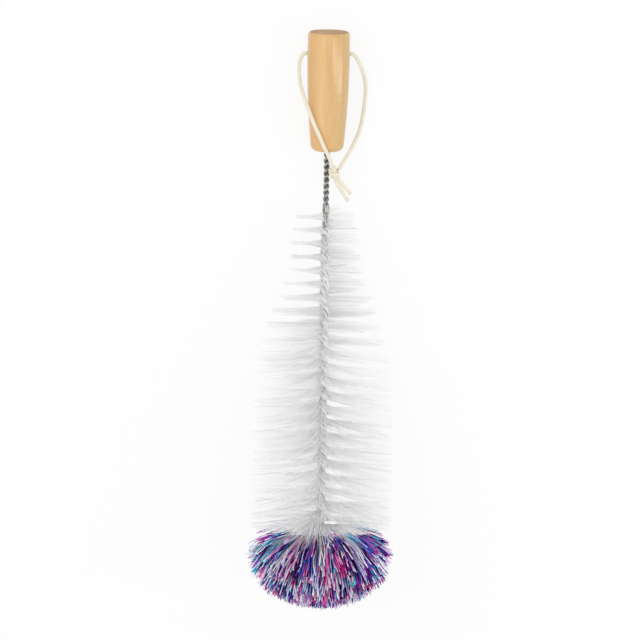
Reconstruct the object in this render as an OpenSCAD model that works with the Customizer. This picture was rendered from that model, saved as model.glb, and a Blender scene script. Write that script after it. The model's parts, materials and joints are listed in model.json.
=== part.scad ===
// Bottle brush: a turned wooden handle on a twisted wire stem, nylon bristles held between the two
// strands of the wire, a dome of yarn at the wire's looped tip, and a knotted hanging lace.
//
// Stations are measured along the brush's own axis, from the foot of the yarn head (0) to the flat
// top of the handle. The wire is bent in two places, and the axis with it. The brush lies as it
// comes to rest: on the widest edge of its bristles and on the flank of its handle. +Y points
// towards the handle, +Z is up, the floor is at z = 0, and the origin is under the middle of it.

/* [Handle] */
// Length of the turned handle
handle_len = 77; // [60:1:100]
// Radius at the thickest place
handle_r = 13.7; // [11.4:0.1:17]
// How far the flank draws in towards the lower end
flank_in = 3.2; // [1:0.1:5]
// Height of the thickest place above the lower end
handle_swell = 60; // [45:1:70]
// Rounding of the lower end
low_round = 4; // [2:0.5:5]
// Rounding of the top rim
top_round = 2.2; // [1:0.1:4]

/* [Lace hole] */
// Radius of the hole across the handle
hole_r = 1.7; // [1.4:0.1:2.5]
// Distance of the hole's axis from the top of the handle
hole_from_top = 14; // [10:1:20]

/* [Wire] */
// Diameter of the wire
wire_d = 2; // [1.5:0.1:2.5]
// Length of the bare stem between bristles and handle
stem_len = 39.5; // [25:0.5:60]
// Length of stem seated in the handle
seat_len = 32; // [20:1:45]
// Length of one full turn of the bare stem
stem_pitch = 8.3; // [7:0.1:12]
// Angle at which the bare stem is bent up, in degrees
stem_bend = 23; // [2:0.5:30]

/* [Bristles] */
// Radius of the cylindrical part
bristle_r = 45.2; // [36:0.1:56]
// Length of the cylindrical part
body_len = 107.5; // [80:0.5:140]
// Length of the shoulder that narrows to the neck
shoulder_len = 58; // [40:1:75]
// Radius of the neck
neck_r = 23.4; // [19:0.1:29]
// Length of the neck
neck_len = 38; // [25:1:50]
// Radius of the last bristles at the top of the neck
neck_top_r = 18.2; // [14:0.1:22]
// Length of one full turn of the wire among the bristles
bristle_pitch = 17.7; // [14:0.1:22]
// Angle at which the wire sags in the shoulder, in degrees
neck_sag = 6.5; // [0.5:0.5:10]
// Height of the sheet that the bristles fill, along the axis
sheet_h = 0.2; // [0.15:0.01:0.3]
// Thickness of the row of bristles where the wire grips it
grip_t = 0.5; // [0.4:0.05:0.8]
// Turn of the row of bristles at the foot of the bristles, in degrees
first_turn = 93; // [-180:1:180]

/* [Yarn head] */
// Height of the yarn head
head_h = 54; // [45:1:65]
// Radius of the yarn head
head_r = 47.2; // [38:0.1:58]
// Height of the widest place above the foot
head_wide = 33.5; // [28:0.5:40]
// Radius of the bundle of yarn under the wire
bundle_r = 8; // [6:0.5:10]
// Number of locks that the yarn hangs in
locks = 32; // [20:1:40]
// Share of the way round that the locks fill, the rest being air
lock_share = 0.33; // [0.25:0.01:0.5]

/* [Rest] */
// How far the bristles give where they carry the brush
give = 1.2; // [0.5:0.1:1.5]

/* [Hidden] */

clear = 0.12;              // running gap between pieces that touch
foot_curve = 2.1;          // exponent of the yarn head's lower outline
top_curve = 2.6;           // exponent of its upper outline
neck_straight = 20;        // length of the neck before it draws in
neck_mid_r = neck_r - 0.6; // radius where it starts to draw in
tip_depth = 6;             // how far the wire's loop reaches into the yarn
ease = 5;                  // length over which the strands close up above the bristles
bend_share = 0.76;         // share of the bare stem that is bent
sag_len = 30;              // length of the shoulder that sags
sag_end = 5;               // from there to the end of the shoulder

// Stations along the axis
bristle_foot = head_h + 0.5;
body_end = bristle_foot + body_len;
shoulder_end = body_end + shoulder_len;
bristle_top = shoulder_end + neck_len;
handle_foot = bristle_top + stem_len;
handle_top = handle_foot + handle_len;
hole_at = handle_len - hole_from_top; // above the handle's foot

function share(s, a, b) = min(1, max(0, (s - a) / (b - a)));

// Axis of the upright brush: it leans by an angle towards -Y, or away from it where that is negative
bend_len = bend_share * stem_len;
bend_start = bristle_top + (stem_len - bend_len) / 2;
sag_start = shoulder_end - sag_end - sag_len;
function lean(s) = stem_bend * share(s, bend_start, bend_start + bend_len)
    - neck_sag * share(s, sag_start, sag_start + sag_len);
// A run of length u that starts at lean b and leans by k more in each millimetre
function run(u, b, k) =
    k == 0 ? u * [0, -sin(b), cos(b)]
           : 180 / PI / k * [0, cos(b + k * u) - cos(b), sin(b + k * u) - sin(b)];
function within(s, a, length) = min(max(s - a, 0), length);
function axis_at(s) =
    run(min(s, sag_start), 0, 0)
    + run(within(s, sag_start, sag_len), 0, -neck_sag / sag_len)
    + run(within(s, sag_start + sag_len, bend_start - sag_start - sag_len), -neck_sag, 0)
    + run(within(s, bend_start, bend_len), -neck_sag, stem_bend / bend_len)
    + run(max(0, s - bend_start - bend_len), stem_bend - neck_sag, 0);
// Place at radius r and angle a round the axis at station s
function polar(r, a, s) =
    axis_at(s) + r * [cos(a), sin(a) * cos(lean(s)), sin(a) * sin(lean(s))];
handle_lean = lean(handle_foot);

// Wire: half the distance between the two strands' centres, among the bristles and in the stem
wire_r = wire_d / 2;
grip_c = wire_r + grip_t / 2 + clear;
stem_c = wire_r * 1.03;
wire_top = handle_foot + seat_len - wire_r;
bend_at = head_h - tip_depth + grip_c + wire_r; // centre of the loop at the tip
bore_r = stem_c + wire_r + clear;

// Handle: the flank is one long arc
flank_arc = (handle_swell * handle_swell + flank_in * flank_in) / (2 * flank_in);
function flank_r(a) =
    handle_r - flank_arc + sqrt(flank_arc * flank_arc - (a - handle_swell) * (a - handle_swell));
rim_r = flank_r(handle_len - top_round) - top_round; // radius of the flat top

// Rest: the brush tilts until a rounding of the handle meets the floor, on which the widest edge of
// the bristles gives a little. The rounding's centre is at radius r, a above the handle's foot.
function rest_tilt(r, a, rounding) =
    let (c = polar(r, 90, handle_foot + a) - [0, bristle_r, body_end])
    atan2(-c[1], c[2]) - asin((rounding + give) / norm(c));
flank_tilt = rest_tilt(handle_r - flank_arc, handle_swell, flank_arc);
touch_at = handle_swell + flank_arc * sin(flank_tilt - handle_lean);
tilt = touch_at > handle_len - top_round ? rest_tilt(rim_r, handle_len - top_round, top_round)
     : touch_at < low_round ? rest_tilt(flank_r(low_round) - low_round, low_round, low_round)
     : flank_tilt;
dip = tilt - handle_lean; // of the handle's axis
foot_z = bristle_r * cos(tilt) + body_end * sin(tilt) - give;
end_at = axis_at(handle_top - top_round);
y_far = end_at[2] * cos(tilt) - end_at[1] * sin(tilt) + rim_r * abs(sin(dip)) + top_round;
y_near = head_wide * cos(tilt) - norm([head_wide * cos(tilt), head_r * sin(tilt)]);
foot_y = -(y_near + y_far) / 2;
// Height of the axis above the floor
function height(s) = foot_z - axis_at(s)[1] * cos(tilt) - axis_at(s)[2] * sin(tilt);

// Twist: degrees turned up to station s; eased() is the integral of a ramp from 0 to 1. The bristles
// are a left-handed screw, and the bare stem is twisted the other way.
bristle_rate = -360 / bristle_pitch;
stem_rate = 360 / stem_pitch;
function eased(s, a, b) = s < a ? 0 : s > b ? s - (a + b) / 2 : (s - a) * (s - a) / (2 * (b - a));
function twist(s) =
    bristle_rate * eased(s, bend_at, bristle_foot)
    + (stem_rate - bristle_rate) * eased(s, bristle_top, bristle_top + ease);
function turn(s) = first_turn + twist(s) - twist(bristle_foot);
function strand_c(s) = grip_c + (stem_c - grip_c) * share(s, bristle_top, bristle_top + ease);

function unit(v) = v / norm(v);

// Joins equal rings of points into the faces of a closed tube, with its two end caps
function tube_faces(rings, sides) = concat(
    [[for (j = [0:sides - 1]) j]],
    [for (i = [0:rings - 2], j = [0:sides - 1])
        each let (a = i * sides + j, b = i * sides + (j + 1) % sides)
            [[a, a + sides, b + sides], [a, b + sides, b]]],
    [[for (j = [sides - 1:-1:0]) (rings - 1) * sides + j]]
);

// Sweeps a round section along points that never run along the direction side
module sweep(points, radii, side, sides = 8) {
    last = len(points) - 1;
    rings = [for (i = [0:last])
        let (along = unit(points[min(i + 1, last)] - points[max(i - 1, 0)]),
             across = unit(side - (side * along) * along),
             third = cross(along, across))
        for (j = [0:sides - 1])
            points[i] + radii[i] * (cos(360 * j / sides) * across + sin(360 * j / sides) * third)];
    polyhedron(rings, tube_faces(last + 1, sides), convexity = 10);
}

// Lays the upright brush down in its resting place
module lie_down() {
    translate([0, foot_y, foot_z]) rotate([-90 - tilt, 0, 0]) children();
}

// ---- Handle ----

handle_outline = concat(
    [[0, 0]],
    [for (a = [-90:15:0]) [flank_r(low_round) - low_round + low_round * cos(a),
                           low_round + low_round * sin(a)]],
    [for (k = [1:11]) let (a = low_round + (handle_len - top_round - low_round) * k / 12)
        [flank_r(a), a]],
    [for (a = [0:15:90]) [rim_r + top_round * cos(a), handle_len - top_round + top_round * sin(a)]],
    [[0, handle_len]]
);

module handle() {
    color("burlywood") lie_down() translate(axis_at(handle_foot)) rotate([handle_lean, 0, 0])
    difference() {
        rotate_extrude($fn = 96) polygon(handle_outline);
        translate([0, 0, -1]) cylinder(r = bore_r, h = seat_len + 1 + clear, $fn = 48);
        translate([0, 0, hole_at]) rotate([0, 90, 0])
            cylinder(r = hole_r, h = 4 * handle_r, center = true, $fn = 48);
    }
}

// ---- Wire: one length bent double, its two halves twisted together ----

steps = 10;     // rings in a turn of the wire
bend_rings = 7; // rings round the loop at the tip

// Stations of the rings, closer together where the twist is tighter
wire_stations = concat(
    [for (k = [1:ceil((bristle_top - bend_at) / bristle_pitch * steps) - 1])
        bend_at + k * bristle_pitch / steps],
    [for (s = [bristle_top:stem_pitch / steps:wire_top]) s]
);
bend_turn = turn(bend_at) + 90;
// Down one strand, round the loop and up the other strand
wire_path = concat(
    [for (i = [len(wire_stations) - 1:-1:0]) let (s = wire_stations[i])
        polar(-strand_c(s), turn(s) + 90, s)],
    [for (k = [0:bend_rings - 1]) let (b = 180 * k / (bend_rings - 1))
        polar(-grip_c * cos(b), bend_turn, bend_at - grip_c * sin(b))],
    [for (s = wire_stations) polar(strand_c(s), turn(s) + 90, s)]
);

module core_wire() {
    color("slategray") lie_down()
        sweep(wire_path, [for (p = wire_path) wire_r], [-sin(bend_turn), cos(bend_turn), 0]);
}

// ---- Bristles: one flat row, gripped by the wire and twisted with it into a screw-shaped sheet ----

slices = 18;      // slices in a turn of the sheet
sheet_in_r = 5.5; // where the gripped row has opened out into the sheet

// Radius of the bristles at station s
function brush_r(s) = lookup(s, [
    [bristle_foot, bristle_r], [body_end, bristle_r], [shoulder_end, neck_r],
    [shoulder_end + neck_straight, neck_mid_r], [bristle_top, neck_top_r]]);
// The same, shortened where bristles that point at the floor (90 degrees is straight down) bend on it
function reach(s, a) =
    sin(a) > 0.1 ? min(brush_r(s), height(s + sheet_h / 2) / (sin(a) * cos(tilt - lean(s))))
                 : brush_r(s);

// Slices straddle the way straight down, so that the sheet rests on a short straight edge
slice_step = 360 / slices;
last_turn = turn(bristle_top);
slice_turns = concat(
    [first_turn],
    [for (k = [ceil(first_turn / slice_step) - 1:-1:floor(last_turn / slice_step) + 1])
        k * slice_step],
    [last_turn]
);

// Ten corners of a slice: out, in, middle, in and out along one face, then back along the other
function slice_ring(a) =
    let (s = bristle_foot + (a - first_turn) / bristle_rate, low = s - sheet_h / 2,
         high = s + sheet_h / 2, out = reach(s, a), back = reach(s, a + 180))
    [polar(out, a, high), polar(sheet_in_r, a, high), polar(grip_t / 2, a + 90, s),
     polar(-sheet_in_r, a, low), polar(-back, a, low),
     polar(-back, a, high), polar(-sheet_in_r, a, high), polar(-grip_t / 2, a + 90, s),
     polar(sheet_in_r, a, low), polar(out, a, low)];

// Faces of the sheet: both faces are cut along the same diagonals, so that they never cross
function sheet_faces(rings) = concat(
    [for (j = [0:3]) each let (a = j, b = 9 - j) [[a, b, b - 1], [a, b - 1, a + 1]]],
    [for (i = [0:rings - 2], j = [0:9])
        each let (a = i * 10 + j, b = i * 10 + (j + 1) % 10)
            j < 5 ? [[a, b + 10, a + 10], [a, b, b + 10]] : [[a, b, a + 10], [b, b + 10, a + 10]]],
    [for (j = [0:3]) each let (t = (rings - 1) * 10, a = t + j, b = t + 9 - j)
        [[a, b - 1, b], [a, a + 1, b - 1]]]
);

module bristles() {
    color("whitesmoke") lie_down()
        polyhedron([for (a = slice_turns) each slice_ring(a)],
                   sheet_faces(len(slice_turns)), convexity = 20);
}

// ---- Yarn head: locks of yarn that fan out from the bundle under the wire ----

// Quarter of a rounded outline from the axis out to radius r, over height h
function quarter(r, h, e, n = 9) =
    [for (k = [0:n]) let (b = 90 * k / n) [r * pow(sin(b), 2 / e), h * pow(cos(b), 2 / e)]];

upper_outline = quarter(head_r, head_h - head_wide, top_curve);
dome_outline = concat(
    [for (p = quarter(head_r, head_wide, foot_curve)) [p[0], head_wide - p[1]]],
    [for (k = [len(upper_outline) - 2:-1:0]) [upper_outline[k][0], head_wide + upper_outline[k][1]]]
);
air_turn = 360 / locks * (1 - lock_share); // angle of the air between two locks

module yarn_head() {
    color("mediumpurple") lie_down() difference() {
        rotate_extrude($fn = 96) polygon(dome_outline);
        for (k = [0:locks - 1]) rotate([0, 0, 360 * k / locks]) translate([0, 0, -1])
            linear_extrude(head_h + 2) polygon([
                for (side = [-1, 1], r = [bundle_r, 2 * head_r])
                    let (far = side < 0 ? r : bundle_r + 2 * head_r - r)
                    [far * cos(air_turn / 2), side * far * sin(air_turn / 2)]]);
        translate([0, 0, head_h - tip_depth - clear])
            cylinder(r = grip_c + wire_r + clear, h = tip_depth + 1, $fn = 48);
    }
}

// ---- Lace: threaded through the handle, its two ends tied together in one knot ----

lace_r = 1.2;
knot_r = 4;
// Places are [to the right, along the handle, above its axis] from the middle of the hole.
// From the knot, up the left side, through the hole and down the right side to the knot
lace_route = [
    [4.3, -74.5, 6], [3.7, -72, 7.4], [2.9, -69.5, 8.8], [1.8, -66.5, 10.3], [0.3, -63, 11.8],
    [-1.2, -60, 12.7], [-2.8, -56.5, 13.2], [-5, -51.5, 13.2], [-7.6, -46, 12.6],
    [-10, -40.5, 11.3], [-12.4, -34.7, 9.2], [-14.8, -29, 6.5], [-16.8, -23.5, 4],
    [-18.2, -18, 2], [-18.9, -12.5, 0.8], [-18.8, -7.5, 0.2], [-18, -3.5, 0], [-16.2, -0.6, 0],
    [-14, 0, 0], [-10, 0, 0], [-5, 0, 0], [0, 0, 0], [5, 0, 0], [10, 0, 0], [14, 0, 0],
    [16.6, -1, -0.2], [18.6, -3.6, -1], [20.8, -8.2, -2.8], [22.8, -13.7, -5.5],
    [24, -18.8, -8.1], [24.5, -23.8, -10.1], [24.5, -28.8, -11.2], [24, -34.2, -11.5],
    [23.4, -39.8, -11.1], [22.4, -45.8, -10], [20.9, -51.3, -7.8], [18.6, -56.7, -4.7],
    [15.8, -62, -1.4], [13, -66.5, 1.2], [10.2, -71, 3.3], [7.8, -74.5, 4.6]
];
knot_route = [[4.2, -72.5, 5.6], [4.5, -74.5, 5.2], [5, -77, 4.8], [5.7, -79.6, 4.4],
              [6.4, -81.6, 4.2]];
knot_radii = [2.4, 3.6, knot_r, 3.6, 2.2];
tail_routes = [
    [[6.2, -78.6, 4.2], [8.2, -81.6, 4.2], [10.6, -84.6, 3.9], [13.2, -87.6, 3.3], [16, -91, 2.4]],
    [[5, -78.6, 4.6], [6.2, -82.5, 5.1], [8.6, -86.5, 5], [11.5, -91, 4.3], [14.5, -95.5, 3.2]]
];
function on_handle(p) = axis_at(handle_foot + hole_at)
    + [p[0], -p[1] * sin(handle_lean) - p[2] * cos(handle_lean),
       p[1] * cos(handle_lean) - p[2] * sin(handle_lean)];

module lace() {
    color("antiquewhite") lie_down() union() {
        lace_tube(lace_route, [for (p = lace_route) lace_r]);
        lace_tube(knot_route, knot_radii);
        for (tail = tail_routes) lace_tube(tail, [for (p = tail) lace_r]);
    }
}

module lace_tube(points, radii) {
    sweep([for (p = points) on_handle(p)], radii, [0, -1, 0]);
}

handle();
core_wire();
bristles();
yarn_head();
lace();
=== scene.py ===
"""The looks of the bottle brush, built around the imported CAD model.

The brush's sizes are in millimetres, and turned into metres where points are placed. Materials,
lamps and the camera are in metres. Stations run along the brush's own axis, from the foot of the
yarn head (0) to the handle's flat top.
"""
import json
import math

import bpy
import numpy as np
from mathutils import Matrix, Vector


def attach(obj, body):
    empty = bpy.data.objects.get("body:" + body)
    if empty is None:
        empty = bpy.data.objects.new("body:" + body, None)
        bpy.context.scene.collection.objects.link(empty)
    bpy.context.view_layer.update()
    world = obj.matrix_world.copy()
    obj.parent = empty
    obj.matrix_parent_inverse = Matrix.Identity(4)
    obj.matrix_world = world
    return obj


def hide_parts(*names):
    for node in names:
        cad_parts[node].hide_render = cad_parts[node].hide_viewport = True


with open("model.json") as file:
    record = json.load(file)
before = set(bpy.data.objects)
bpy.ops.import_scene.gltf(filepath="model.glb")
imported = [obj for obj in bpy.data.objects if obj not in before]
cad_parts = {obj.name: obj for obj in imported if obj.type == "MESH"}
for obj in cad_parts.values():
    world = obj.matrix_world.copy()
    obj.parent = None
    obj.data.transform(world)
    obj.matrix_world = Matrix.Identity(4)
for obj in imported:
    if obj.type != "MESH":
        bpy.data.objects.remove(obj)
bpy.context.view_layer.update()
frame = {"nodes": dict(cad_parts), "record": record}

MM = 0.001
random = np.random.default_rng(7)

# ---- Sizes, as in the part's source ----

HEAD_H, HEAD_R = 54, 47.2
HEAD_WIDE = 33.5                  # station of the yarn head's widest place
FOOT_CURVE, TOP_CURVE = 2.1, 2.6  # exponents of its outline below and above there
BRISTLE_FOOT, BODY_END, SHOULDER_END, BRISTLE_TOP = 54.5, 162, 220, 258
BRISTLE_R, NECK_R, NECK_MID_R, NECK_TOP_R = 45.2, 23.4, 22.8, 18.2
NECK_MID = SHOULDER_END + 20      # where the neck starts to draw in
FIRST_TURN = 93                   # of the row of bristles at its foot, in degrees
BRISTLE_RATE = -360 / 17.7        # degrees that the row turns in a millimetre
STEM_RATE = 360 / 8.3             # the same for the bare stem
WIRE_R = 1.0
GRIP_C, STEM_C = 1.37, 1.03       # from the axis to a strand's middle, gripping and bare
EASE = 5                          # length over which the strands close up above the bristles
BEND_AT, WIRE_TOP = 50.37, 328.5  # middle of the loop at the tip, and the end in the handle
NECK_SAG, SAG_START, SAG_LEN = math.radians(6.5), 185, 30
STEM_BEND, BEND_START, BEND_LEN = math.radians(23), 262.74, 30.02
HANDLE_FOOT, HANDLE_TOP = 297.5, 374.5
HANDLE_R = 13.7
HOLE_AT = 63                      # the lace hole's axis above the handle's foot

# ---- The brush's axis ----

AXIS_FROM, AXIS_STEP = -10, 0.1   # where the axis is followed from, and in what steps


def lean(station):
    """How far the axis leans at a station from where it points among the lower bristles."""
    return (STEM_BEND * np.clip((station - BEND_START) / BEND_LEN, 0, 1)
            - NECK_SAG * np.clip((station - SAG_START) / SAG_LEN, 0, 1))


STATIONS = np.arange(AXIS_FROM, HANDLE_TOP + 1, AXIS_STEP)
step_lean = lean(STATIONS[:-1] + AXIS_STEP / 2)
AXIS_OUT = np.concatenate([[0], -np.cumsum(np.sin(step_lean))]) * AXIS_STEP
AXIS_ALONG = np.concatenate([[0], np.cumsum(np.cos(step_lean))]) * AXIS_STEP + AXIS_FROM


def bent(radius, turn, station):
    """The same place as place() in the lower bristles' own frame: along SIDE, DOWN and AXIS."""
    radius, turn, station = np.broadcast_arrays(radius, np.radians(turn), station)
    bend, out = lean(station), radius * np.sin(turn)
    return np.stack([
        radius * np.cos(turn),
        np.interp(station, STATIONS, AXIS_OUT) + out * np.cos(bend),
        np.interp(station, STATIONS, AXIS_ALONG) + out * np.sin(bend),
    ], axis=-1)


handle_end = next(m for m in frame["record"]["mounts"] if m["name"] == "handle_end")
HANDLE_DIP = math.atan2(-handle_end["axis"][2], handle_end["axis"][1])
TILT = HANDLE_DIP + STEM_BEND - NECK_SAG
SIDE = np.array([1.0, 0.0, 0.0])
AXIS = np.array([0.0, math.cos(TILT), -math.sin(TILT)])  # of the bristles, towards the handle
DOWN = np.array([0.0, -math.sin(TILT), -math.cos(TILT)])  # square to it, towards the floor
OWN = np.array([SIDE, DOWN, AXIS])
FOOT = np.array(handle_end["pos_m"]) - MM * bent(0, 0, HANDLE_TOP) @ OWN


def place(radius, turn, station):
    """Points in metres at a radius from the axis, turned from SIDE towards DOWN in degrees."""
    return FOOT + MM * bent(radius, turn, station) @ OWN


def on_handle(points):
    """Places given to the right, along the handle and above its axis, from the lace hole."""
    along = np.array([0.0, math.cos(HANDLE_DIP), -math.sin(HANDLE_DIP)])
    hole = place(0, 0, HANDLE_FOOT + HOLE_AT)
    return hole + MM * np.array(points, float) @ np.array([SIDE, along, np.cross(SIDE, along)])


def eased(station, start, end):
    """The integral of a ramp that rises from 0 at start to 1 at end."""
    ramp = (station - start) ** 2 / (2 * (end - start))
    return np.where(station < start, 0, np.where(station > end, station - (start + end) / 2, ramp))


def row_turn(station):
    """How far the row of bristles, and the wire that grips it, has turned at a station."""
    station = np.asarray(station, float)
    foot = eased(station, BEND_AT, BRISTLE_FOOT) - eased(BRISTLE_FOOT, BEND_AT, BRISTLE_FOOT)
    stem = eased(station, BRISTLE_TOP, BRISTLE_TOP + EASE)
    return FIRST_TURN + BRISTLE_RATE * foot + (STEM_RATE - BRISTLE_RATE) * stem


def bristle_radius(station):
    """The radius that the bristles are trimmed to at a station."""
    return np.interp(
        station,
        [BRISTLE_FOOT, BODY_END, SHOULDER_END, NECK_MID, BRISTLE_TOP],
        [BRISTLE_R, BRISTLE_R, NECK_R, NECK_MID_R, NECK_TOP_R],
    )


# ---- Camera ----

SQUARE_AT = 186    # station that the camera looks at, square to the axis
AIM_LEFT = 0.0026  # how far to the left of the axis it aims
LEAN = 1.0         # degrees that the brush leans to the right in the picture
DISTANCE = 1.1
PICTURE_H = 0.416  # height of the picture at that distance
SENSOR_H = 36      # in millimetres, as the lens is

camera = bpy.data.objects.new("camera", bpy.data.cameras.new("camera"))
bpy.context.collection.objects.link(camera)
bpy.context.scene.camera = camera
aim = place(0, 0, SQUARE_AT) - AIM_LEFT * SIDE
camera.matrix_world = (
    Matrix.Translation(Vector(aim - DISTANCE * DOWN))
    @ Matrix([SIDE, AXIS, -DOWN]).transposed().to_4x4()
    @ Matrix.Rotation(math.radians(LEAN), 4, "Z")
)
camera.data.sensor_fit = "VERTICAL"
camera.data.sensor_height = SENSOR_H
camera.data.lens = SENSOR_H * DISTANCE / PICTURE_H

# ---- Materials ----


class Shader:
    """A node material with a Principled shader, and short ways to add nodes to it."""

    def __init__(self, name, **values):
        self.material = bpy.data.materials.new(name)
        self.material.use_nodes = True
        self.tree = self.material.node_tree
        self.main = self.tree.nodes["Principled BSDF"]
        for socket, value in values.items():
            self.main.inputs[socket.replace("_", " ")].default_value = value

    def node(self, kind, inputs=None, **settings):
        """A new node. inputs holds a socket to link to or a value for each of its inputs."""
        made = self.tree.nodes.new("ShaderNode" + kind)
        for key, value in settings.items():
            setattr(made, key, value)
        for key, value in (inputs or {}).items():
            if isinstance(value, bpy.types.NodeSocket):
                self.tree.links.new(value, made.inputs[key])
            else:
                made.inputs[key].default_value = value
        return made

    def stored(self, name):
        """A number that the mesh holds at each of its points."""
        return self.node("Attribute", attribute_name=name).outputs["Fac"]

    def scaled(self, value, start=0.0, end=1.0, low=0.0, high=1.0):
        """A number that goes from low to high, and no further, as value goes from start to end."""
        return self.node("MapRange", {"Value": value, "From Min": start, "From Max": end,
                                      "To Min": low, "To Max": high}).outputs[0]

    def ramp(self, factor, *stops, constant=False):
        """A colour by a factor. Each stop is a place from 0 to 1 and the colour there."""
        made = self.node("ValToRGB", {"Fac": factor})
        band = made.color_ramp
        band.interpolation = "CONSTANT" if constant else "LINEAR"
        for place_at, _ in stops[2:]:
            band.elements.new(place_at)
        for element, (place_at, colour) in zip(band.elements, sorted(stops, key=lambda s: s[0])):
            element.position = place_at
            element.color = (*colour, 1)
        return made.outputs["Color"]

    def mix(self, factor, first, second, blend="MIX"):
        """A mix of two colours. Each argument is a socket or a value."""
        made = self.node("Mix", data_type="RGBA", blend_type=blend)
        for socket, value in zip((made.inputs[0], made.inputs[6], made.inputs[7]),
                                 (factor, first, second)):
            if isinstance(value, bpy.types.NodeSocket):
                self.tree.links.new(value, socket)
            else:
                socket.default_value = value if socket == made.inputs[0] else (*value, 1)
        return made.outputs[2]

    def link(self, output, socket):
        self.tree.links.new(output, self.main.inputs[socket])

    def bump(self, height, strength, distance):
        made = self.node("Bump", {"Height": height, "Strength": strength, "Distance": distance})
        self.link(made.outputs["Normal"], "Normal")


SATIN, DULL = 0.42, 0.85  # roughness of the handle's turned side and of its end
# The first two tints are painted shade on the handle's right and left sides; the third is the
# darker colour of end grain.
RIGHT_PAINTED_SHADE, LEFT_PAINTED_SHADE, END_TINT = (0.84, 0.845, 0.75), (0.93, 0.83, 0.73), (0.68, 0.72, 1.0)


def wood():
    """Varnished beech, with painted shade darkening its two sides."""
    shader = Shader("beech", Roughness=SATIN, Coat_Roughness=0.13, Specular_IOR_Level=0.3)
    coords = shader.node("TexCoord").outputs["Object"]

    def turned(across, along):
        """Coordinates turned with the handle, scaled across it and along it."""
        return shader.node("Mapping", {"Vector": coords, "Rotation": (HANDLE_DIP, 0, 0),
                                       "Scale": (across, along, across)}).outputs["Vector"]

    broad = shader.node("TexNoise", {"Vector": turned(90, 6), "Scale": 1, "Detail": 3})
    grain = shader.node("TexNoise", {"Vector": turned(900, 22), "Scale": 1, "Detail": 4,
                                     "Roughness": 0.6})
    tone = shader.ramp(broad.outputs["Fac"], (0.3, (0.73, 0.435, 0.165)),
                       (0.7, (0.80, 0.525, 0.235)))
    lines = shader.ramp(grain.outputs["Fac"], (0.3, (0.80, 0.76, 0.70)), (0.6, (1, 1, 1)))
    tone = shader.mix(0.4, tone, lines, "MULTIPLY")
    at = shader.node("SeparateXYZ", {"Vector": turned(1, 1)}).outputs
    # Painted shade: the right side darkens from near the middle on, and the left side only near
    # its edge
    tone = shader.mix(shader.scaled(at["X"], -0.004, 0.013), tone, RIGHT_PAINTED_SHADE, "MULTIPLY")
    tone = shader.mix(shader.scaled(at["X"], -0.005, -0.011), tone, LEFT_PAINTED_SHADE, "MULTIPLY")
    # The flat end shows end grain, which is darker and has no varnish
    _, y, z = place(0, 0, HANDLE_TOP)
    end_at = y * math.cos(HANDLE_DIP) - z * math.sin(HANDLE_DIP)
    end = shader.scaled(at["Y"], end_at - 0.0007, end_at - 0.0002)
    shader.link(shader.mix(end, tone, END_TINT, "MULTIPLY"), "Base Color")
    shader.link(shader.scaled(end, low=0.9, high=0.0), "Coat Weight")
    shader.link(shader.scaled(end, low=SATIN, high=DULL), "Roughness")
    shader.bump(grain.outputs["Fac"], 0.05, 0.0002)
    return shader.material


def steel():
    """Dark where the stem is bare, and pale where the bristles' roots lie over the wire."""
    shader = Shader("steel", Roughness=0.26)
    coords = shader.node("TexCoord").outputs["Object"]
    dull = shader.node("TexNoise", {"Vector": coords, "Scale": 900, "Detail": 3}).outputs["Fac"]
    bare = shader.stored("bare")
    dark = shader.ramp(dull, (0.35, (0.13, 0.13, 0.12)), (0.65, (0.46, 0.45, 0.43)))
    pale = shader.ramp(dull, (0.35, (0.42, 0.42, 0.42)), (0.65, (0.86, 0.86, 0.86)))
    shader.link(shader.mix(bare, pale, dark), "Base Color")
    shader.link(shader.scaled(bare, low=0.3, high=0.9), "Metallic")
    shader.bump(dull, 0.2, 0.0001)
    return shader.material


def nylon():
    """Near white, with a few greyer filaments that are painted shade, standing in for the shadow
    lines between filaments.
    """
    shader = Shader("nylon", Roughness=0.35, Specular_IOR_Level=0.3)
    colour = shader.ramp(shader.stored("tone"),
                         (0, (0.66, 0.665, 0.67)), (0.05, (0.88, 0.883, 0.886)),
                         (0.15, (0.96, 0.962, 0.964)), (0.5, (0.992, 0.993, 0.994)))
    shader.link(colour, "Base Color")
    return shader.material


# Each colour of the yarn and its share of the strands, the pale ones last
YARN_COLOURS = [
    ((0.70, 0.02, 0.30), 0.13), ((0.95, 0.20, 0.52), 0.12), ((0.36, 0.05, 0.55), 0.11),
    ((0.08, 0.015, 0.23), 0.10), ((0.006, 0.008, 0.10), 0.15), ((0.04, 0.12, 0.58), 0.12),
    ((0.05, 0.55, 0.75), 0.11), ((0.02, 0.22, 0.32), 0.05), ((0.70, 0.64, 0.88), 0.06),
    ((0.97, 0.96, 0.98), 0.07),
]
# The shorter strands also take the two darkest colours, as painted shade between the others.
PLUM, NAVY, LILAC = 3, 4, 8  # the two darkest colours, and the first of the pale ones
# The colour near a strand's root: one for the even colours, and one for the odd
PALE_COLOURS = ((0.99, 0.985, 0.99), (0.95, 0.94, 0.97))


def yarn():
    """Each strand in its own colour, and nearly white near its root."""
    shader = Shader("yarn", Roughness=0.85, Specular_IOR_Level=0.05)
    tone = shader.stored("tone")
    own = [(k / len(YARN_COLOURS), colour) for k, (colour, _) in enumerate(YARN_COLOURS)]
    pale = [(start, PALE_COLOURS[k % 2]) for k, (start, _) in enumerate(own)]
    shader.link(shader.mix(shader.stored("pale"), shader.ramp(tone, *own, constant=True),
                           shader.ramp(tone, *pale, constant=True)), "Base Color")
    return shader.material


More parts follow.
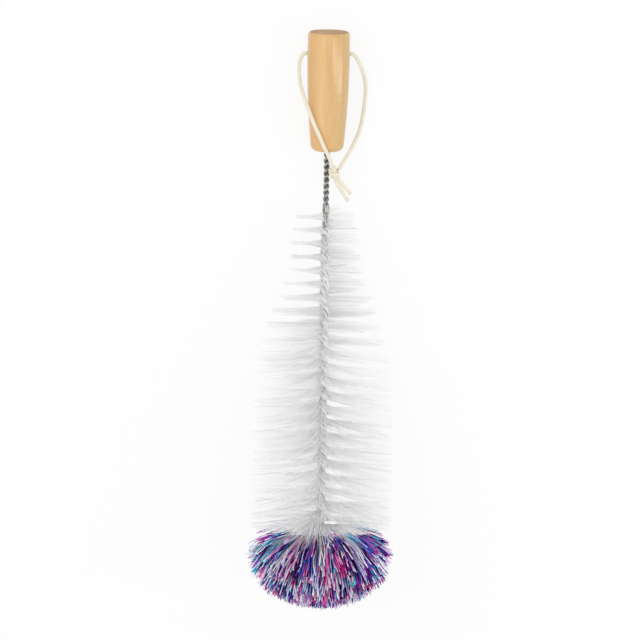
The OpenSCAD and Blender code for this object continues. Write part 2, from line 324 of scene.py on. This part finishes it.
def leather():
    """Pale hide with a faint mottle."""
    shader = Shader("leather", Roughness=0.55)
    coords = shader.node("TexCoord").outputs["Object"]
    mottle = shader.node("TexNoise", {"Vector": coords, "Scale": 260, "Detail": 4}).outputs["Fac"]
    colour = shader.ramp(mottle, (0.3, (0.79, 0.72, 0.57)), (0.65, (0.86, 0.80, 0.66)))
    shader.link(colour, "Base Color")
    shader.bump(mottle, 0.25, 0.0003)
    return shader.material


# ---- Meshes ----


def circle(sides):
    """The corners of a regular outline of radius 1."""
    turns = np.arange(sides) * 2 * math.pi / sides
    return np.stack([np.cos(turns), np.sin(turns)], axis=1)


def unit(vectors):
    return vectors / np.linalg.norm(vectors, axis=-1, keepdims=True)


def sweep(name, paths, outline, scale, side, material, smooth=True, **values):
    """One mesh of closed tubes: an outline swept along each path (tubes, rings, 3), in metres.

    scale is the outline's size, and side the direction that its first axis leans to. values holds
    a number for each tube and ring, kept on the mesh for the material to read.
    """
    paths = np.asarray(paths, float)
    tubes, rings = paths.shape[:2]
    sides = len(outline)
    along = unit(np.gradient(paths, axis=1))
    side = np.broadcast_to(side, paths.shape)
    across = unit(side - np.sum(side * along, axis=2, keepdims=True) * along)
    third = np.cross(along, across)
    scale = np.broadcast_to(scale, (tubes, rings))[:, :, None, None]
    points = paths[:, :, None] + scale * (
        outline[:, 0, None] * across[:, :, None] + outline[:, 1, None] * third[:, :, None])

    ring = np.arange(tubes * rings).reshape(tubes, rings)[:, :-1, None] * sides
    here, then = np.arange(sides), (np.arange(sides) + 1) % sides
    walls = np.stack([ring + here, ring + then, ring + sides + then, ring + sides + here],
                     axis=3).reshape(-1, 4)
    first = np.arange(tubes)[:, None] * rings * sides
    starts = first + here[::-1]
    ends = first + (rings - 1) * sides + here
    mesh = bpy.data.meshes.new(name)
    mesh.from_pydata(points.reshape(-1, 3), [], walls.tolist() + starts.tolist() + ends.tolist())
    mesh.polygons.foreach_set("use_smooth", [smooth] * len(walls) + [False] * (2 * tubes))

    # A plain map for whoever puts a texture on the piece: once round, and metres along
    step = np.linalg.norm(np.diff(paths, axis=1), axis=2)
    run = np.concatenate([np.zeros((tubes, 1)), np.cumsum(step, axis=1)], axis=1)
    round_to = np.stack([here, here + 1, here + 1, here], axis=1) / sides
    u = np.broadcast_to(round_to, (tubes, rings - 1, sides, 4))
    v = np.stack([run[:, :-1], run[:, :-1], run[:, 1:], run[:, 1:]], axis=2)[:, :, None]
    v = np.broadcast_to(v, u.shape)
    flat = np.concatenate([np.stack([u, v], axis=4).reshape(-1), np.zeros(4 * tubes * sides)])
    mesh.uv_layers.new(name="UVMap").data.foreach_set("uv", flat)
    for key, value in values.items():
        filled = np.repeat(np.broadcast_to(value, (tubes, rings)).reshape(-1), sides)
        mesh.attributes.new(key, "FLOAT", "POINT").data.foreach_set("value", filled)
    mesh.materials.append(material)
    made = bpy.data.objects.new(name, mesh)
    bpy.context.collection.objects.link(made)
    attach(made, "root")
    return made


def smooth_path(points, steps):
    """A curve through the points (Catmull-Rom), with that many steps between two of them."""
    points = np.asarray(points, float)
    ends = np.concatenate([[2 * points[0] - points[1]], points, [2 * points[-1] - points[-2]]])
    a, b, c, d = ends[:-3, None], ends[1:-2, None], ends[2:-1, None], ends[3:, None]
    t = (np.arange(steps) / steps)[None, :, None]
    curve = 0.5 * (2 * b + (c - a) * t + (2 * a - 5 * b + 4 * c - d) * t**2
                   + (3 * b - a - 3 * c + d) * t**3)
    return np.concatenate([curve.reshape(-1, 3), points[-1:]])


# ---- Lace ----

LACE_W, LACE_T = 2.4, 1.3
LACE_CORNERS = 0.55            # exponent of the strip's rounded section
LACE_FACES = (0, 0.29, 0.957)  # the direction that its broad side is turned to
ROUTE_STEPS = 4                # rings for each point of a route
WRAP_RINGS = 40
# Places lie to the right, along the handle and above its axis, from the middle of the hole. The
# left route runs from there out on the left, over the handle and down to the knot
LEFT_ROUTE = [
    (0, 0, 0), (-5, 0, 0), (-10, 0, 0), (-14, 0, 0), (-16.2, -0.6, 0), (-18, -3.5, 0),
    (-18.8, -7.5, 0.2), (-18.9, -12.5, 0.8), (-18.2, -18, 2), (-16.8, -23.5, 4),
    (-14.8, -29, 6.5), (-12.4, -34.7, 9.2), (-10, -40.5, 11.3), (-7.6, -46, 12.6),
    (-5, -51.5, 13.2), (-2.8, -56.5, 13.2), (-1.2, -60, 12.7), (0.3, -63, 11.8),
    (1.8, -66.5, 10.3), (2.9, -69.5, 8.8), (3.7, -72, 7.4), (4.3, -74.5, 6),
]
RIGHT_ROUTE = [
    (0, 0, 0), (5, 0, 0), (10, 0, 0), (14, 0, 0), (16.6, -1, -0.2), (18.6, -3.6, -1),
    (20.8, -8.2, -2.8), (22.8, -13.7, -5.5), (24, -18.8, -8.1), (24.5, -23.8, -10.1),
    (24.5, -28.8, -11.2), (24, -34.2, -11.5), (23.4, -39.8, -11.1), (22.4, -45.8, -10),
    (20.9, -51.3, -7.8), (18.6, -56.7, -4.7), (15.8, -62, -1.4), (13, -66.5, 1.2),
    (10.2, -71, 3.3), (7.8, -74.5, 4.6),
]
KNOT_ROUTE = [(4.2, -72.5, 5.6), (4.5, -74.5, 5.2), (5, -77, 4.8), (5.7, -79.6, 4.4),
              (6.4, -81.6, 4.2)]
KNOT_R = [1.5, 2.1, 2.3, 2.1, 1.4]  # radii of the knot's core, from one end to the other
TAIL_ROUTES = [
    [(6.2, -78.6, 4.2), (8.2, -81.6, 4.2), (10.6, -84.6, 3.9), (13.2, -87.6, 3.3), (16, -91, 2.4)],
    [(5, -78.6, 4.6), (6.2, -82.5, 5.1), (8.6, -86.5, 5), (11.5, -91, 4.3), (14.5, -95.5, 3.2)],
]


def strip_outline():
    """A flat strip's section with rounded edges, LACE_W wide and LACE_T thick, in metres."""
    turns = np.radians(np.arange(0, 360, 30) + 15)
    wide = np.sign(np.cos(turns)) * np.abs(np.cos(turns)) ** LACE_CORNERS
    thick = np.sign(np.sin(turns)) * np.abs(np.sin(turns)) ** LACE_CORNERS
    size = np.abs(wide).max()
    return np.stack([wide * LACE_W / 2, thick * LACE_T / 2], axis=1) * MM / size


def strip(name, route, material):
    """A flat strip along a route, and the path of its middle."""
    path = smooth_path(on_handle(route), ROUTE_STEPS)
    side = np.cross(LACE_FACES, unit(np.gradient(path, axis=0)))
    return sweep(name, [path], strip_outline(), 1, side[None], material), path


def wrap(name, material, radius, start, end, middle, advance):
    """A strip wound round the knot from one turn in degrees to another.

    middle is how far its own middle lies along the knot from the knot's, and advance its length
    along the knot.
    """
    low, high = on_handle([KNOT_ROUTE[1], KNOT_ROUTE[3]])
    along = unit(high - low)
    across = unit(np.cross(along, (0, 0, 1)))
    up = np.cross(across, along)
    turns = np.radians(np.linspace(start, end, WRAP_RINGS))
    share = np.linspace(-0.5, 0.5, WRAP_RINGS)
    ring = radius * MM * (np.cos(turns)[:, None] * across + np.sin(turns)[:, None] * up)
    path = (low + high) / 2 + ring + (middle + advance * share)[:, None] * MM * along
    tangent = unit(np.gradient(path, axis=0))
    return sweep(name, [path], strip_outline(), 1, np.cross(ring, tangent)[None], material)


def lace():
    hide = leather()
    tails = [strip(f"lace_tail_{k + 1}", route, hide)[0] for k, route in enumerate(TAIL_ROUTES)]
    knot_path = smooth_path(on_handle(KNOT_ROUTE), ROUTE_STEPS)
    knot_r = np.interp(np.linspace(0, 1, len(knot_path)), np.linspace(0, 1, len(KNOT_R)), KNOT_R)
    knot = sweep("lace_knot", [knot_path], circle(16), knot_r * MM, (0.03, 0.02, 1), hide)
    wraps = [wrap("lace_wrap_1", hide, 2.9, -20, 330, 0.9, 3.6),
             wrap("lace_wrap_2", hide, 2.7, 150, 420, -1.5, -3.2)]
    for name, route, sign in (("lace_left", LEFT_ROUTE, -1), ("lace_right", RIGHT_ROUTE, 1)):
        piece, path = strip(name, route, hide)
        tuple(on_handle((sign * HANDLE_R, 0, 0)))
        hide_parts("lace")
    for piece in (knot, *wraps, *tails):
        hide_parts("lace")


lace()

# ---- Wire ----

TURN_RINGS, LOOP_RINGS = 24, 13  # rings in a turn of the wire, and round the loop at the tip
PALE_END = 24                    # length below the bare stem over which the wire turns dark


def wire_path():
    """Down one strand, round the loop at the tip and up the other, and each point's station."""
    among = np.arange(BEND_AT, BRISTLE_TOP, abs(360 / BRISTLE_RATE) / TURN_RINGS)[1:]
    above = np.arange(BRISTLE_TOP, WIRE_TOP, 360 / STEM_RATE / TURN_RINGS)
    stations = np.concatenate([among, above])
    radii = np.interp(stations, [BRISTLE_TOP, BRISTLE_TOP + EASE], [GRIP_C, STEM_C])
    turns = row_turn(stations) + 90
    bend = np.linspace(0, math.pi, LOOP_RINGS)
    loop = place(-GRIP_C * np.cos(bend), row_turn(BEND_AT) + 90, BEND_AT - GRIP_C * np.sin(bend))
    path = np.concatenate([place(-radii, turns, stations)[::-1], loop,
                           place(radii, turns, stations)])
    return path, np.concatenate([stations[::-1], np.full(len(bend), BEND_AT), stations])


def core_wire():
    turn = math.radians(row_turn(BEND_AT) + 180)
    path, stations = wire_path()
    bare = np.interp(stations, [BRISTLE_TOP - PALE_END, BRISTLE_TOP], [0, 1])
    piece = sweep("wire", [path], circle(14), WIRE_R * MM,
                  math.cos(turn) * SIDE + math.sin(turn) * DOWN, steel(), bare=bare)
    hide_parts("core_wire")


core_wire()

# ---- Bristles ----

TUFTS, PER_TUFT = 2600, 3
TUFT_TURN, TUFT_LEN = 2.5, 0.25  # spread of tufts round the row in degrees, and along a tuft
RINGS = 6                        # along a filament
FILAMENT_R = 0.08
NECK_THIN = 0.82                 # thickness of the filaments of the neck, beside the others
# Tone distance and thickness for the line filaments; the dark ones are painted shade between
# filaments.
SHADE_LINE_TONE, SHADE_LINE_R = 0.43, 1.7  # distance from the middle tone, and thickness from there on
ROW_R = 0.4                      # from the axis to where a filament starts
LONGEST, UNEVEN = 1.02, 0.02     # longest filament and spread, as shares of the trimmed radius
BOW = 2                          # spread of the tips round the brush, in degrees
STRAY = 0.5                      # spread of the tufts' tips along the brush, and of each tip's
FAN_AT = [BRISTLE_FOOT, 120, 160, 190]
FAN = [13, 12, 9, 0]             # the most that tips lean towards the yarn, at those stations
TOP_FAN = 0.75                   # the least share of it that filaments on top lean
PAST_FOOT = 3                    # the furthest that tips get past the foot of the bristles
FLOOR_GAP = 0.3                  # how far above the floor a filament ends
PIECE_ENDS = [108, BODY_END]     # stations that part the bristles into three pieces
LAID, LAID_R, LAID_LEN = 800, 0.26, 8  # filaments laid along the wire, their radius and length
LAID_AT, LAID_OUT = 2.3, 0.5     # radius that they lie at, and how much further out they get
LAID_SHORT = 18                  # the last of them start this far below the bristles' top


def floor_reach(station, turn):
    """How far from the axis a filament gets before it meets the floor."""
    height = place(0, 0, station)[..., 2] / MM
    fall = np.sin(np.radians(turn)) * np.cos(TILT - lean(station))
    never, steep = 1e3, 0.1
    return np.where(fall > steep, (height - FLOOR_GAP) / np.maximum(fall, steep), never)


def bristles():
    """Filaments in small tufts, each from the wire out to the trimmed radius."""
    material = nylon()
    tuft_station = random.uniform(BRISTLE_FOOT, BRISTLE_TOP, TUFTS)
    tuft_turn = random.choice([0, 180], TUFTS) + random.normal(0, TUFT_TURN, TUFTS)
    tuft = np.repeat(np.arange(TUFTS), PER_TUFT)
    count = len(tuft)
    station = tuft_station[tuft] + random.normal(0, TUFT_LEN, count)
    station = np.clip(station, BRISTLE_FOOT, BRISTLE_TOP)
    turn = row_turn(station) + tuft_turn[tuft]
    reach = bristle_radius(station) * (LONGEST - np.abs(random.normal(0, UNEVEN, count)))
    reach = np.minimum(reach, floor_reach(station, turn))
    share = np.linspace(0, 1, RINGS) ** 1.4  # rings lie closer together near the wire
    bend_turn = random.normal(0, BOW, count)[:, None] * share**2
    # Tips lean towards the yarn, further the nearer they are to it, and those on top all lean far
    fan = np.interp(station, FAN_AT, FAN)
    least = TOP_FAN * np.clip(-np.sin(np.radians(turn)), 0, 1)
    drift = (random.normal(0, STRAY, TUFTS)[tuft] + random.normal(0, STRAY, count)
             - fan * (least + (1 - least) * random.uniform(0, 1, TUFTS)[tuft]))
    drift = np.maximum(drift, np.minimum(BRISTLE_FOOT - PAST_FOOT - station, 0))
    radius = ROW_R + (reach[:, None] - ROW_R) * share
    curve = random.uniform(0.65, 1.0, TUFTS)[tuft, None]
    paths = place(radius, turn[:, None] + bend_turn,
                  station[:, None] + drift[:, None] * share**curve)
    # Filaments of the darkest and brightest tones are drawn thicker and show as lines; the dark
    # ones are painted shade, the shadow lines between filaments
    tone = random.uniform(0, 1, count)
    thick = np.where(np.abs(tone - 0.5) > SHADE_LINE_TONE, SHADE_LINE_R, 1.0) * FILAMENT_R
    thick = thick * np.interp(station, [SHOULDER_END - 20, SHOULDER_END + 10], [1, NECK_THIN])
    paths[..., 2] = np.maximum(paths[..., 2], thick[:, None] * MM)
    zone = np.digitize(station, PIECE_ENDS)
    for k, name in enumerate(("bristles_low", "bristles_middle", "bristles_high")):
        mine = zone == k
        piece = sweep(name, paths[mine], circle(3), thick[mine, None] * MM, AXIS, material,
                      smooth=False, tone=tone[mine, None])
        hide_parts("bristles")


def bristle_roots():
    """Filaments that lie along the twisted wire before they stand out from it."""
    start = random.uniform(BRISTLE_FOOT, BRISTLE_TOP - LAID_SHORT, LAID)
    share = np.linspace(0, 1, RINGS)
    station = start[:, None] + LAID_LEN * share
    offset = random.choice([0, 180], LAID) + random.uniform(-80, 80, LAID)
    radius = LAID_AT + random.uniform(0, LAID_OUT, LAID)[:, None] + LAID_OUT * share**2
    paths = place(radius, row_turn(station) + offset[:, None], station)
    piece = sweep("bristle_roots", paths, circle(3), LAID_R * MM, SIDE + 0.01 * DOWN, nylon(),
                  smooth=False, tone=random.uniform(0.05, 0.6, LAID)[:, None])
    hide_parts("bristles")


bristle_roots()
bristles()

# ---- Yarn head ----

LOCKS, PER_LOCK, CURLS = 900, 8, 1200  # curls are loose pale strands
LOCK_DEPTH, CURL_DEPTH = (0.95, 1.02), (0.92, 1.03)  # range that they reach, as shares of the dome
LOCK_ANGLE, LOCK_TURN = 0.04, 2.2      # spread of a lock's strands, in radians and in degrees
LEAST_ANGLE = 0.05                     # below level
UNEVEN_ENDS = 0.045                    # spread of the shares that strands fall short of their lock
SHORT = 0.05                           # the share from which a strand counts as short
OWN_COLOUR = 0.35                      # share of the strands that don't take their lock's colour
YARN_R, CURL_R = 0.33, 0.34
YARN_RINGS = 9
LOCK_WAVE, CURL_WAVE = 0.9, 1.4        # how far strands wave to each side at their ends
WAVE_RANGE = (4, 11)                   # how much of a wave a strand holds, in radians
OWN_WAVE = 0.4                         # size of a strand's own wave beside its lock's
PALE_RUN, PALE_FADE = 30, 4            # length from the root that is pale, and then fades
ROOT_R, ROOT_S = 2.0, 52.5             # radius and station where the yarn leaves the wire
RISE = math.radians(20)                # how much nearer to level a strand starts than it ends
FLATTEST = math.radians(2)             # the least that it starts below level


def quarter(height, exponent):
    """Radii and heights of a rounded outline, from the axis out to the widest place."""
    t = np.linspace(0, math.pi / 2, 200)
    return HEAD_R * np.sin(t) ** (2 / exponent), height * np.cos(t) ** (2 / exponent)


def dome(angle):
    """Radius and station of the dome's outline, seen from the root at an angle below level."""
    low_r, low = quarter(HEAD_WIDE, FOOT_CURVE)
    top_r, top = quarter(HEAD_H - HEAD_WIDE, TOP_CURVE)
    radius = np.concatenate([low_r, top_r[::-1]])
    station = np.concatenate([HEAD_WIDE - low, HEAD_WIDE + top[::-1]])
    seen = np.arctan2(ROOT_S - station, radius)
    order = np.argsort(seen)
    return (np.interp(angle, seen[order], radius[order]),
            np.interp(angle, seen[order], station[order]))


def pick_colours(count, pale_only=False):
    """Numbers of colours, drawn by their shares."""
    shares = np.array([share for _, share in YARN_COLOURS])
    if pale_only:
        shares[:LILAC] = 0
    return random.choice(len(YARN_COLOURS), count, p=shares / shares.sum())


def waves(lock, size, t):
    """Offsets that a whole lock shares, and smaller ones of each strand, growing from the root."""
    offset = 0
    for of_a_lock, part in ((True, size), (False, OWN_WAVE * size)):
        start = random.uniform(0, 2 * math.pi, len(lock))
        turns = random.uniform(*WAVE_RANGE, len(lock))
        if of_a_lock:
            start, turns = start[lock], turns[lock]
        offset = offset + part * np.sin(start[:, None] + t * turns[:, None])
    return offset * t


def arc(t, start, middle, end):
    """Values on curves that leave start towards middle and end at end."""
    return (1 - t)**2 * start + 2 * t * (1 - t) * middle[:, None] + t**2 * end[:, None]


def strands(name, lock, angle, turn, colour, depth, wave_size, thick, material):
    """Strands from the root to the dome, at an angle below level and a turn round the axis."""
    count = len(angle)
    end_r, end_s = dome(angle)
    end_r, end_s = end_r * depth, ROOT_S + (end_s - ROOT_S) * depth
    start_angle = np.maximum(angle - RISE, FLATTEST)
    span = np.hypot(end_r - ROOT_R, end_s - ROOT_S)
    mid_r = ROOT_R + 0.5 * span * np.cos(start_angle)
    mid_s = ROOT_S - 0.5 * span * np.sin(start_angle)
    t = np.linspace(0, 1, YARN_RINGS)
    radius, station = arc(t, ROOT_R, mid_r, end_r), arc(t, ROOT_S, mid_s, end_s)
    square = waves(lock, wave_size, t)
    radius = radius + square * np.sin(angle)[:, None]
    station = station + square * np.cos(angle)[:, None]
    sideways = place(1.0, turn[:, None] + 90, 0.0) - place(0.0, 0.0, 0.0)
    paths = (place(radius, turn[:, None], station)
             + waves(lock, wave_size, t)[..., None] * sideways)
    paths[..., 2] = np.maximum(paths[..., 2], thick * MM)
    pale_to = PALE_RUN * random.normal(1, 0.1, count)[:, None]
    pale = np.clip((pale_to - t * span[:, None]) / PALE_FADE, 0, 1)
    piece = sweep(name, paths, circle(3), thick * MM, AXIS + 0.01 * SIDE, material, smooth=False,
                  tone=((colour + 0.5) / len(YARN_COLOURS))[:, None], pale=pale)
    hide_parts("yarn_head")


def yarn_head():
    material = yarn()
    # Half of the locks point within 30 degrees of the axis, so the foot of the dome is dense
    lock_angle = np.arccos(random.uniform(0, 1, LOCKS))
    lock_turn = random.uniform(0, 360, LOCKS)
    lock_colour = pick_colours(LOCKS)
    lock_depth = random.uniform(*LOCK_DEPTH, LOCKS)
    # Locks go to the two pieces by turns, so each piece reaches all the way round
    for name, first in (("yarn_left", 0), ("yarn_right", 1)):
        lock = np.repeat(np.arange(first, LOCKS, 2), PER_LOCK)
        count = len(lock)
        angle = lock_angle[lock] + random.normal(0, LOCK_ANGLE, count)
        angle = np.clip(angle, LEAST_ANGLE, math.pi / 2)
        turn = lock_turn[lock] + random.normal(0, LOCK_TURN, count)
        own = random.uniform(0, 1, count) < OWN_COLOUR
        colour = np.where(own, pick_colours(count), lock_colour[lock])
        depth = lock_depth[lock] - np.abs(random.normal(0, UNEVEN_ENDS, count))
        # The shorter strands lie deep between the others and take the two darkest colours, as
        # painted shade in the gaps
        short = depth < lock_depth[lock] - SHORT
        colour = np.where(short, random.choice([PLUM, NAVY], count), colour)
        strands(name, lock // 2, angle, turn, colour, depth, LOCK_WAVE, YARN_R, material)
    strands("yarn_curls", np.arange(CURLS), np.arccos(random.uniform(0.15, 1, CURLS)),
            random.uniform(0, 360, CURLS), pick_colours(CURLS, True),
            random.uniform(*CURL_DEPTH, CURLS), CURL_WAVE, CURL_R, material)


yarn_head()

# ---- Handle ----

handle = frame["nodes"]["handle"]
handle.data.materials.clear()
handle.data.materials.append(wood())

# ---- Floor and light ----

FLOOR_HALF = 4      # half the floor's side
FLOOR_WHITE = 0.85  # share of pure white in the floor as it is seen; the rest takes the shadow
WORLD_LIGHT = 0.88


def seen_directly(tree):
    """A socket that is 1 where the camera, a reflection or glass looks, and 0 for plain light."""
    path = tree.nodes.new("ShaderNodeLightPath")
    seen = path.outputs["Is Camera Ray"]
    for kind in ("Is Glossy Ray", "Is Transmission Ray"):
        either = tree.nodes.new("ShaderNodeMath")
        either.operation = "MAXIMUM"
        tree.links.new(seen, either.inputs[0])
        tree.links.new(path.outputs[kind], either.inputs[1])
        seen = either.outputs[0]
    return seen


def floor():
    """A pale floor, most of it pure white where it is seen."""
    half = FLOOR_HALF
    mesh = bpy.data.meshes.new("floor")
    mesh.from_pydata([(-half, -half, 0), (half, -half, 0), (half, half, 0), (-half, half, 0)], [],
                     [(0, 1, 2, 3)])
    made = bpy.data.objects.new("floor", mesh)
    bpy.context.collection.objects.link(made)
    shader = Shader("paper", Roughness=1, Base_Color=(0.93, 0.93, 0.93, 1), Specular_IOR_Level=0)
    share = shader.node("Math", {0: seen_directly(shader.tree), 1: FLOOR_WHITE},
                        operation="MULTIPLY")
    white = shader.node("Emission", {"Color": (1, 1, 1, 1), "Strength": 1.0})
    both = shader.node("MixShader", {0: share.outputs[0], 1: shader.main.outputs[0],
                                     2: white.outputs[0]})
    shader.tree.links.new(both.outputs[0], shader.tree.nodes["Material Output"].inputs["Surface"])
    mesh.materials.append(shader.material)


def lamp(name, place_at, size, power):
    """A soft rectangular lamp that shines at the middle of the floor."""
    data = bpy.data.lights.new(name, "AREA")
    data.shape = "RECTANGLE"
    data.size, data.size_y = size
    data.energy = power
    made = bpy.data.objects.new(name, data)
    bpy.context.collection.objects.link(made)
    made.location = place_at
    made.rotation_euler = Vector(place_at).to_track_quat("Z", "Y").to_euler()


def studio():
    """Plain light all round, and pure white where the camera or a reflection sees it."""
    world = bpy.data.worlds.new("studio")
    bpy.context.scene.world = world
    world.use_nodes = True
    nodes, link = world.node_tree.nodes, world.node_tree.links.new
    light = nodes["Background"]
    light.inputs["Color"].default_value = (1, 1, 1, 1)
    light.inputs["Strength"].default_value = WORLD_LIGHT
    white = nodes.new("ShaderNodeBackground")
    white.inputs["Color"].default_value = (1, 1, 1, 1)
    both = nodes.new("ShaderNodeMixShader")
    link(seen_directly(world.node_tree), both.inputs[0])
    link(light.outputs[0], both.inputs[1])
    link(white.outputs[0], both.inputs[2])
    link(both.outputs[0], nodes["World Output"].inputs["Surface"])


floor()
lamp("key", (-0.55, 0.35, 0.95), (0.7, 0.7), 2.0)
lamp("strip", (0.80, -0.05, 0.65), (0.12, 1.2), 1.6)
studio()
bpy.context.scene.view_settings.view_transform = "Standard"
